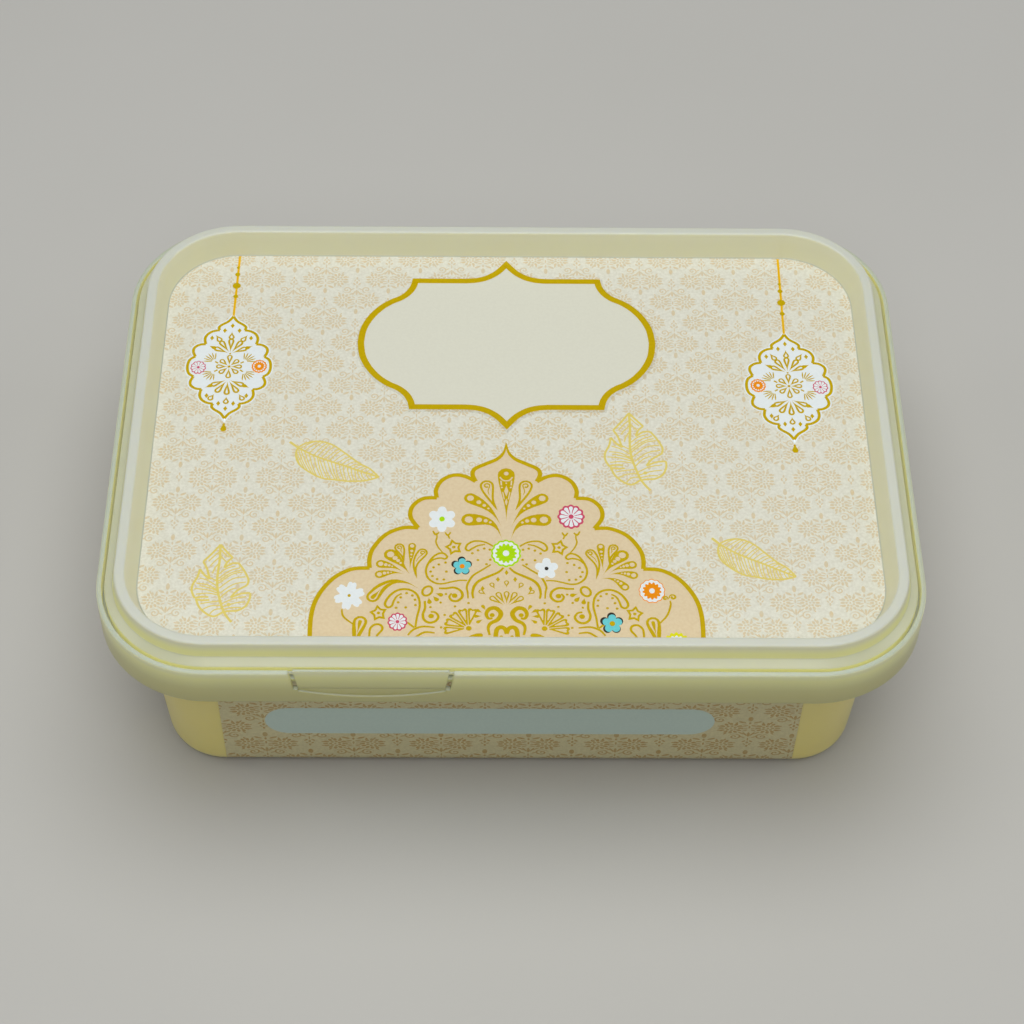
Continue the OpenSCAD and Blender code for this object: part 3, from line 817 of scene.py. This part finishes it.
stroke([(-3.4, -55.2), (-3.2, -52.1), (-2.4, -51.2), (-1.5, -51.6), (-1.1, -52.9)], 1.0, (1, 1, 0.8))
dots(0.35, (-2.2, -53.6))
drop((-6.5, -53.3), (-9.6, -54.2), 1.1, 0.4, inside="full")
stroke([(-21.4, -53.3), (-20.3, -51.9), (-18.4, -51.1), (-15.9, -51.3)], 0.52)
stroke([(-20.6, -54.6), (-19.2, -53.3), (-17.8, -52.5), (-15.9, -52.7)], 0.52)
stroke([(-21.6, -50.0), (-20.1, -51.4)], 0.5)
drop((-31.3, -49.9), (-32.3, -59.0), 3.0, 0.3, inside="hole", hole=0.6)
tops["gold"].area(drop_shape((-31.3, -49.9), (-31.9, -53.5), 0.8, 0, 6))
comma([(-29.3, -54.5), (-29.2, -51.8), (-28.2, -50.6), (-27.0, -50.8), (-26.7, -51.9), (-27.7, -53.4), (-28.1, -55.3)], 0.55)
gold.mirrored(begin, AXIS)
for name, first in tops_begin.items():
    tops[name].mirrored(first, AXIS)
print("arch filled on both sides:", len(gold.faces), "gold faces")

# %% What only one side has, and the middle
big_leaf = through([(-19.2, -41.5), (-21.5, -39.9), (-24.5, -39.4), (-27.2, -41.0), (-28.9, -43.5)], 5)
gold.area(drop_shape(big_leaf[-1], big_leaf[0], 2.8, steps=12, way=big_leaf))
small_leaf = big_leaf[11:]
tops["peach"].area(drop_shape(small_leaf[-1], small_leaf[0], 1.7, steps=9, way=small_leaf))
tops["gold"].area(drop_shape((-28.9, -43.6), (-27.2, -41.4), 0.95, 0, 6))
drop((23.6, -40.7), (18.4, -38.4), 1.9, 0.9, inside="lights")
stroke([(-35.2, -46.7), (-34.8, -48.6), (-32.8, -50.5)], 0.46)
stroke([(30.0, -50.6), (32.0, -48.2), (32.9, -45.6), (32.9, -44.2)], 0.46)
curl(33.5, -43.3, 0.8, 1.1, 200, -1, 0.44)
curl(31.9, -43.6, 0.6, 1.0, 330, 1, 0.4)
gold.area(drop_shape((AXIS, -10.3), (AXIS, -23.5), 3.7, 0, 12))
tops["peach"].dot(AXIS, -10.0, 0.52, 12)
tops["peach"].line(through([(AXIS - 1.35, -11.0), (AXIS - 0.8, -11.8), (AXIS, -12.05), (AXIS + 0.8, -11.8), (AXIS + 1.35, -11.0)], 4), 0.34)
for side in (1, -1):
    tops["peach"].dot(AXIS + 0.95 * side, -13.9, 0.22, 8)
    tops["peach"].line([(AXIS + 1.15 * side, -12.0), (AXIS + 1.05 * side, -13.3)], 0.32)
    tops["peach"].line([(AXIS + 0.75 * side, -15.2), (AXIS + 0.45 * side, -17.2)], 0.24)
tops["peach"].dot(AXIS, -12.7, 0.2, 8)
tops["peach"].area([(AXIS, -13.4), (AXIS + 0.46, -14.9), (AXIS, -16.4), (AXIS - 0.46, -14.9)])
tops["peach"].area([(AXIS, -17.0), (AXIS + 0.3, -17.9), (AXIS, -19.0), (AXIS - 0.3, -17.9)])

# %% [markdown]
# ## Florets
# Small flat flowers in bright tints are scattered over the gold. They differ only in petal
# count, how deep the petals are cut, and which inks print the rim, the petals and the eye.


# %% Floret kinds
def flower_shape(x, y, radius, petals, cut, turn=90.0, steps=6, notch=0.0):
    """A flower outline, a little taller than wide. cut is how far the gaps reach in, notch how far petal ends split."""
    pts = []
    for k in range(petals * steps):
        a = math.tau * k / (petals * steps)
        swell = abs(math.cos(petals * a / 2))
        r = radius * (1 - cut * (1 - swell) ** 1.25 - notch * swell ** 14)
        pts.append((x + r * math.cos(a + math.radians(turn)), y + TALLER * r * math.sin(a + math.radians(turn))))
    return pts


def daisy(x, y, radius, petals=12, thin=1.0):
    """White petals with rose gaps, rim and eye."""
    plates["pink"].area(flower_shape(x, y, radius, petals, 0.14, steps=5))
    tops["white"].area(flower_shape(x, y, radius * (1 - 0.16 * thin), petals, 0.2, steps=5))
    for k in range(petals):
        head, tip = ray((x, y), 90 + 360 * (k + 0.5) / petals, radius * 0.25, radius * 0.88)
        pair = [(p.x, y + TALLER * (p.y - y)) for p in (tip, head)]
        tops["pink"].line(pair, radius * 0.1 * thin, taper=(0.5, 0.8, 1.0))
    tops["pink"].dot(x, y, radius * 0.19, 12, TALLER)


def sun(x, y, radius, colour, petals=13, rim=0.07):
    """A spiky disc with a white scalloped ring and a thin rim of its own colour."""
    plates[colour].area(flower_shape(x, y, radius, petals, 0.1, steps=5))
    tops["white"].area(flower_shape(x, y, radius * (1 - rim), petals, 0.1, steps=5))
    tops[colour].area(flower_shape(x, y, radius * 0.72, petals, 0.3, 90 + 180 / petals, steps=5))
    eyes["white"].dot(x, y, radius * 0.21, 14, TALLER)


def plain_flower(x, y, radius, petals, cut, eye, turn=90.0, notch=0.0, eye_size=0.2):
    plates["white"].area(flower_shape(x, y, radius, petals, cut, turn, 9, notch))
    tops[eye].dot(x, y, radius * eye_size, 12, TALLER)


def sky_flower(x, y, radius, eye="orange"):
    """Five round sky-coloured petals with a dark edge on the outside."""
    for k in range(5):
        a = math.tau * (k / 5 + 0.25)
        way_x, way_y = radius * math.cos(a), TALLER * radius * math.sin(a)
        plates["dark"].dot(x + way_x * 0.7 - radius * 0.06, y + way_y * 0.7 + radius * 0.05, radius * 0.42, 14, TALLER)
        plates["blue"].dot(x + way_x * 0.57, y + way_y * 0.57, radius * 0.38, 14, TALLER)
    plates["blue"].dot(x, y, radius * 0.5, 12)
    tops[eye].dot(x, y, radius * 0.27, 12, TALLER)


sun(-1.2, -31.9, 3.25, "lime", 14, 0.13)
sun(29.2, -41.7, 2.8, "orange", 13)
daisy(12.7, -21.9, 2.95)
daisy(-23.6, -49.9, 2.1, 11)
plain_flower(-14.8, -22.7, 3.05, 6, 0.36, "lime", 90)
plain_flower(-33.8, -43.2, 3.45, 6, 0.5, "gold", 78, 0.14, 0.1)
plain_flower(7.3, -35.9, 2.5, 5, 0.42, "dark", 90, 0.0, 0.17)
sky_flower(-10.4, -35.4, 2.0)
sky_flower(20.7, -50.2, 2.2, "gold")
plates["yellow"].area(flower_shape(33.8, -55.6, 2.9, 16, 0.2, steps=5))
tops["white"].area(flower_shape(33.8, -56.0, 2.5, 16, 0.2, steps=5))

# %% [markdown]
# ## Hanging pendants
# On each side a scalloped pendant hangs on a beaded string from the lid's back edge. It is
# white with a gold edge, and inside it drops fan out from two points above and below an
# eight-petalled rosette.

# %% Pendants
PENDANT = [
    [(0, 15.4), (0.95, 13.9), (2.4, 12.8), (3.05, 12.0), (2.85, 11.1)],
    [(2.85, 11.1), (4.2, 10.8), (5.4, 9.9), (5.95, 8.5), (5.7, 6.8)],
    [(5.7, 6.8), (7.0, 6.6), (8.1, 5.7), (8.3, 4.5), (7.75, 3.0)],
    [(7.75, 3.0), (8.9, 2.0), (9.3, 0), (8.9, -2.0), (7.75, -3.0)],
    [(7.75, -3.0), (8.3, -4.5), (8.1, -5.7), (7.0, -6.6), (5.7, -6.8)],
    [(5.7, -6.8), (5.95, -8.5), (5.4, -9.9), (4.2, -10.8), (2.85, -11.1)],
    [(2.85, -11.1), (3.05, -12.0), (2.4, -12.8), (0.95, -13.9), (0, -15.4)],
]


def pendant(x, y, scale, rose_side, string_top):
    edge = []
    for lobe in PENDANT:
        edge += through(lobe, 4)[:-1]
    edge.append(Vector(PENDANT[-1][-1]))
    whole = turned(edge + [Vector((-p.x, p.y)) for p in reversed(edge[1:-1])], 0, (x, y), scale)
    fills["pendant"].line(whole, 1.3, closed=True)
    fills["pendant"].area(whole)
    first = len(gold.faces)
    for lobe in PENDANT:
        gold.line(turned(through(lobe, 4), 0, (x, y), scale), 0.66 * scale)
    gold.mirrored(first, x)
    fills["string"].line([(x + 0.25, string_top), (x, y + 15.6 * scale)], 0.55)
    for above, size in ((30.9, 0.4), (28.7, 0.62), (25.1, 0.95), (21.7, 0.6)):
        gold.dot(x + 0.08, y + above * scale, size, 14)
    for up in (1, -1):
        focus = Vector((x, y + 3.9 * up * scale))
        for angle in (90, 58, 122, 26, 154):
            slope = angle * up
            head, tip = ray(focus, slope, 0.3 * scale, (3.9 if abs(angle - 90) < 40 else 3.4) * scale)
            drop(head, tip, 1.45, 0, inside="hole", light="white", hole=0.36)
            if abs(angle - 90) < 40:
                near, far = (6.9, 5.0) if up == 1 else (5.0, 6.6)
                head, tip = ray(focus, slope, near * scale, far * scale)
                drop(head, tip, 1.4, 0, inside="hole", light="white", hole=0.42)
            else:
                head, tip = ray(focus, slope, 5.6 * scale, 4.1 * scale)
                drop(head, tip, 1.0, 0, inside="full")
        for dx, dy in ((0, 12.5), (1.65, 11.0), (-1.65, 11.0), (4.4, 8.7), (-4.4, 8.7)):
            px, py = x + dx * scale, y + dy * up * scale
            gold.area([(px, py + 0.75), (px + 0.46, py), (px, py - 0.75), (px - 0.46, py)])
        for side in (1, -1):
            base = Vector((x + 3.2 * side * scale, y + 1.5 * up * scale))
            for k in range(6):
                angle = (90 - side * (17.5 * k)) * up
                head, tip = ray(base, angle, 0.75 * scale, (2.95 - 0.14 * abs(k - 2.5)) * scale)
                gold.line([tip, head.lerp(tip, 0.4), head], 0.27, taper=(0.6, 1.2, 0.5))
            gold.line([base, base + Vector((-0.7 * side, -0.5 * up))], 0.38)
    gold.dot(x, y + 3.9 * scale, 0.25, 8)
    for k in range(8):
        reach = 2.9 if k % 4 == 2 else 2.3
        head, tip = ray((x, y), 45 * k, 0.2, reach * scale)
        drop(head, tip, 1.3, 0, inside="hole", light="white", hole=0.42)
    gold.dot(x, y, 0.36, 8)
    gold.area(drop_shape((x, y - 18.5 * scale), (x, y - 16.4 * scale), 1.35, 0, 7))
    gold.dot(x, y - 17.1 * scale, 0.32, 8)
    daisy(x + 6.85 * rose_side * scale, y - 0.3, 1.75, 11, 0.8)
    sun(x - 6.75 * rose_side * scale, y + 0.1, 1.75, "orange", 14, 0.2)


fills["string"] = Plate("print_string", string_ink, on_lid, 0.024)
pendant(-63.05, 20.85, 1.0, -1, 56)
pendant(62.0, 15.8, 1.02, 1, 56)

# %% [markdown]
# ## Leaf drawings
# Two kinds of leaf lie loose on the ground in thin, pale gold lines: a feathered one with
# close veins and a broad one whose edge is split into fingers. Each is drawn once where it
# lies and set down a second time, a little smaller, on the other side.


# %% Leaves
def placed(points, at, scale, turn, origin):
    return turned([(p[0] - origin[0], p[1] - origin[1]) for p in points], turn, at, scale)


def feather_leaf(at, scale=1.0, turn=0.0):
    """A long leaf, its stalk at the upper left and its tip at the lower right."""
    origin = (-46.5, -2.8)
    rib = through([(-46.5, -2.8), (-43, -5.0), (-39.5, -6.6), (-36, -8.0), (-32.5, -9.5), (-28.6, -11.1)], 8)
    top = through([(-46.5, -2.8), (-44.6, -1.5), (-42, -1.0), (-39, -2.0), (-36, -4.5), (-33, -7.2), (-30.6, -8.8), (-28.6, -11.1)], 6)
    low = through([(-46.5, -2.8), (-46.8, -5.0), (-46, -7.5), (-44, -9.5), (-41, -11.4), (-38, -11.9), (-35, -12.3), (-31.5, -12.1), (-28.6, -11.1)], 6)
    plate = fills["leaf"]

    def lay(points, width):
        plate.line(placed(points, at, scale, turn, origin), width)

    for path, width in ((rib, 0.46), (top, 0.42), (low, 0.42), ([(-48.3, -1.2), (-46.5, -2.8)], 0.6)):
        lay(path, width)
    for edge, count, ahead, bow in ((top, 20, 0.22, 0.4), (low, 21, 0.38, -0.3)):
        for k in range(count):
            t = k / count
            p = rib[round(t * (len(rib) - 1))]
            q = edge[min(len(edge) - 1, round((t * (1 - ahead) + ahead) * (len(edge) - 1)))]
            lay(through([p, (p + q) / 2 + Vector((bow * 0.4, bow)), q], 3), 0.24)
    for a, b in ((4, 16), (6, 13)):
        lay([low[a], low[b]], 0.24)


def split_leaf(at, scale=1.0, turn=0.0):
    """A broad leaf, its tip up and its stalk at the lower right, with deep cuts between its fingers."""
    origin = (26.0, 7.6)
    plate = fills["leaf"]

    def lay(points, width=0.34, smooth=True):
        plate.line(placed(through(points, 4) if smooth else [Vector(p) for p in points], at, scale, turn, origin), width)

    lay([(29.9, -14.5), (28.2, -12.0), (27.1, -8.9), (26.2, -5.3), (25.9, -1.6), (26.1, 2.9), (26.0, 7.6)], 0.54)
    for finger in (
        [(26.0, 7.6), (24.4, 5.2), (22.4, 2.6)], [(22.4, 2.6), (23.4, 0.6), (24.2, -2.4)],
        [(24.2, -2.4), (22.9, -1.2), (21.8, 0.5)], [(21.8, 0.5), (21.4, -1.8), (20.5, -3.9), (20.4, -5.8), (21.2, -7.8)],
        [(21.2, -7.8), (22.6, -7.4), (24.3, -7.5)], [(24.6, -8.3), (23.0, -8.4), (21.7, -8.2)],
        [(21.5, -8.0), (22.4, -10.3), (24.2, -12.2), (26.0, -12.9), (27.9, -11.6)],
        [(26.0, 7.6), (27.4, 5.7), (29.0, 3.8)], [(29.0, 3.8), (27.8, 2.4), (27.3, 0.8)],
        [(27.3, 0.8), (28.9, 2.1), (30.5, 2.2)], [(30.5, 2.2), (31.9, 0), (33.0, -2.5), (32.8, -4.1)],
        [(32.8, -4.1), (30.6, -5.7), (29.3, -7.6)], [(29.3, -7.6), (31.6, -6.5), (33.6, -6.3)],
        [(33.6, -6.3), (33.6, -8.0), (32.8, -10.0), (31.2, -11.2), (29.4, -11.4), (27.9, -11.6)],
    ):
        lay(finger, 0.48)
    for vein in (
        [(26.0, 5.6), (24.6, 4.0), (23.6, 2.7)], [(26.1, 4.0), (24.9, 2.6), (24.1, 1.4)], [(26.0, 2.2), (25.2, 0.8), (24.7, -0.8)],
        [(26.1, 6.2), (27.2, 4.8), (28.1, 3.9)], [(26.1, 4.4), (27.1, 3.2), (27.6, 2.6)],
        [(25.9, -3.0), (24.2, -1.9), (22.3, -0.8)], [(26.0, -4.4), (24.0, -2.9), (21.9, -2.0)], [(26.2, -5.6), (23.8, -4.0), (21.3, -3.6)],
        [(26.4, -6.4), (23.6, -5.4), (20.9, -5.1)], [(26.5, -6.9), (24.0, -6.4), (21.4, -6.7)],
        [(26.2, -0.9), (27.8, 0.6), (29.8, 1.4)], [(26.2, -2.2), (28.6, 0.0), (30.9, 0.9)], [(26.3, -3.6), (29.2, -1.0), (31.6, -0.4)],
        [(26.5, -5.0), (29.4, -2.3), (32.3, -1.7)], [(26.8, -6.4), (29.6, -3.9), (32.5, -3.2)], [(27.0, -7.6), (28.8, -5.6), (30.4, -4.9)],
        [(27.0, -8.6), (24.8, -8.9), (22.6, -9.4)], [(27.3, -9.8), (25.0, -10.0), (23.2, -11.0)], [(27.7, -10.8), (26.0, -11.0), (24.9, -12.2)],
        [(27.4, -9.4), (30.0, -7.9), (32.8, -7.3)], [(27.7, -10.2), (30.2, -9.2), (32.7, -8.8)], [(28.0, -10.9), (30.0, -10.4), (31.8, -10.4)],
        [(26.4, -5.9), (24.4, -4.9), (22.0, -4.3)], [(26.3, -2.9), (28.8, -0.7), (31.2, 0.2)],
    ):
        lay(vein, 0.3)
    plate.dot(*placed([(29.0, -9.6)], at, scale, turn, origin)[0], 0.45, 9)


feather_leaf((-46.5, -2.8))
feather_leaf((43.95, -29.1), 0.905, -4.1)
split_leaf((26.0, 7.6))
split_leaf((-61.4, -29.8), 0.92, 0)

# %% Make the lid's prints
prints = [plate.mesh("lid_body") for plate in (*fills.values(), gold, *plates.values(), *tops.values(), *eyes.values())]

# %% [markdown]
# ## The front plate
# On the front wall the film carries a pale blue plate with round ends. It lies on a wall
# that leans out four degrees, so its points are placed along that lean.

# %% Pale blue plate on the front wall
WALL_IN, LEAN, HALF_WIDTH = 8.4, math.radians(4), 64.05


def on_front(x, z, lift):
    inset = WALL_IN + (40 - z) * math.tan(LEAN)
    return (x * MM, (-HALF_WIDTH + inset - lift * math.cos(LEAN)) * MM, (z - lift * math.sin(LEAN)) * MM)


plate_ink = ink("Plate blue", paint(203, 221, 212), paint(188, 208, 202), 0.35)
front_plate = Plate("print_front_plate", plate_ink, on_front, 0.015, low=0, high=38)
MIDDLE, TALL, LEFT, RIGHT = 18.9, 10.6, -52.6, 43.8
pill = [(RIGHT - TALL / 2 + TALL / 2 * math.cos(a), MIDDLE + TALL / 2 * math.sin(a)) for a in (math.pi * (k / 20 - 0.5) for k in range(21))]
pill += [(LEFT + TALL / 2 - TALL / 2 * math.cos(a), MIDDLE - TALL / 2 * math.sin(a)) for a in (math.pi * (k / 20 - 0.5) for k in range(21))]
front_plate.area(pill)
front_plate.mesh("tub_body")

# %% [markdown]
# ## Floor and light
# The box stands on a plain pale floor. One large soft light hangs above and behind, so the
# tops and the lid read bright and the front wall falls into shade, with weak fill in front.
# The plastics add to it with a painted sheen on their tops and painted shade lower down.


# %% Floor and lights
def soft_light(name, at, aim, size, power, colour=(1, 1, 1)):
    lamp = bpy.data.lights.new(name, "AREA")
    lamp.shape, lamp.size, lamp.energy, lamp.color = "DISK", size, power, colour
    thing = bpy.data.objects.new(name, lamp)
    bpy.context.scene.collection.objects.link(thing)
    thing.location = at
    thing.rotation_mode = "QUATERNION"
    thing.rotation_quaternion = (Vector(aim) - Vector(at)).to_track_quat("-Z", "Y")
    return thing


floor_data = bpy.data.meshes.new("floor")
floor_data.from_pydata([(-3, -3, 0), (3, -3, 0), (3, 3, 0), (-3, 3, 0)], [], [(0, 1, 2, 3)])
floor = bpy.data.objects.new("floor", floor_data)
bpy.context.scene.collection.objects.link(floor)
floor_material, floor_tree, floor_shader = new_material("Pale floor", Roughness=0.8)
grain = put(floor_tree, "ShaderNodeTexNoise", {"Scale": 60.0, "Detail": 4.0}).outputs["Fac"]
floor_tree.links.new(blend_colours(floor_tree, grain, paint(190, 189, 185), paint(195, 194, 191)), floor_shader.inputs["Base Color"])
floor_data.materials.append(floor_material)

soft_light("top light", (0.0, 0.1, 1.0), (0, 0, 0.05), 1.0, 6.0, (1.0, 1.0, 0.97))
soft_light("front light", (0.0, -0.6, 0.95), (0, 0, 0.04), 0.7, 3.0, (1.0, 0.99, 0.95))
soft_light("left light", (-0.85, 0.0, 0.6), (0, 0, 0.04), 0.5, 0.9)
soft_light("right light", (0.85, 0.0, 0.6), (0, 0, 0.04), 0.5, 0.9)
world = bpy.data.worlds.new("studio") if bpy.context.scene.world is None else bpy.context.scene.world
bpy.context.scene.world = world
world.use_nodes = True
world.node_tree.nodes["Background"].inputs["Color"].default_value = (0.95, 0.97, 1.0, 1)
world.node_tree.nodes["Background"].inputs["Strength"].default_value = 0.15
